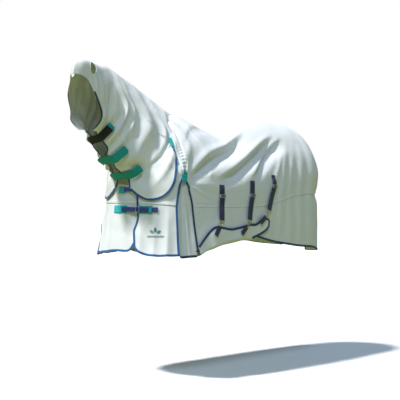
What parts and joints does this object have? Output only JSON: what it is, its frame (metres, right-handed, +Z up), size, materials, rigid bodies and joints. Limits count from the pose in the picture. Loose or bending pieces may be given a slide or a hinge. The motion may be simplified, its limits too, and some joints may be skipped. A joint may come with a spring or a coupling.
{
  "type": "sweet itch rug",
  "caption": "White horse rug against biting flies, with a full neck cover, hood, belly wrap, blue binding, teal tabs and navy straps, shaped as worn.",
  "frame": {"origin": "under the cloth at the middle of the back, where the rug lies on the horse's spine", "axes": "+X towards the tail, +Z up, and -Y towards the horse's left (near) side"},
  "size_m": [2.3227, 0.7983, 1.2864],
  "materials": {
    "cloth": "matte white fly mesh",
    "binding": "matte navy tape",
    "webbing": "woven navy webbing",
    "black": "black hook-and-loop cloth",
    "teal": "teal cloth",
    "turquoise": "bright turquoise cloth",
    "steel": "satin steel",
    "brass": "pale brass"
  },
  "bodies": {
    "root": {"upper_body_near": "cloth", "front_panel_near": "cloth", "lower_side_near": "cloth", "gusset_near": "cloth", "neck_cover_near": "cloth", "front_binding_near": "binding", "side_binding_near": "binding", "gusset_hem_binding_near": "binding", "lobe_binding_near": "binding", "throat_binding_near": "binding", "gusset_tab_near": "teal", "neck_tab_near": "teal", "upper_body_far": "cloth", "front_panel_far": "cloth", "lower_side_far": "cloth", "gusset_far": "cloth", "neck_cover_far": "cloth", "front_binding_far": "binding", "side_binding_far": "binding", "gusset_hem_binding_far": "binding", "lobe_binding_far": "binding", "throat_binding_far": "binding", "gusset_tab_far": "teal", "neck_tab_far": "teal", "tail_flap": "cloth", "hood": "cloth", "belly_wrap": "cloth", "wrap_binding": "binding", "face_binding": "binding", "belly_strap_a_upper": "webbing", "belly_strap_a_lower": "webbing", "belly_strap_a_slider": "steel", "belly_strap_a_hook": "brass", "belly_strap_a_tail": "webbing", "belly_strap_b_upper": "webbing", "belly_strap_b_lower": "webbing", "belly_strap_b_slider": "steel", "belly_strap_b_hook": "brass", "belly_strap_b_tail": "webbing", "belly_strap_c_upper": "webbing", "belly_strap_c_lower": "webbing", "belly_strap_c_slider": "steel", "belly_strap_c_hook": "brass", "belly_strap_c_tail": "webbing", "chest_patch_far": "turquoise", "chest_patch_near": "teal", "chest_webbing": "webbing", "chest_buckle": "steel", "chest_keeper": "teal", "upper_chest_patch": "turquoise", "upper_chest_webbing": "webbing", "neck_strap_1": "black", "neck_strap_1_end": "teal", "neck_strap_2": "teal", "neck_strap_3": "teal"}
  },
  "joints": []
}
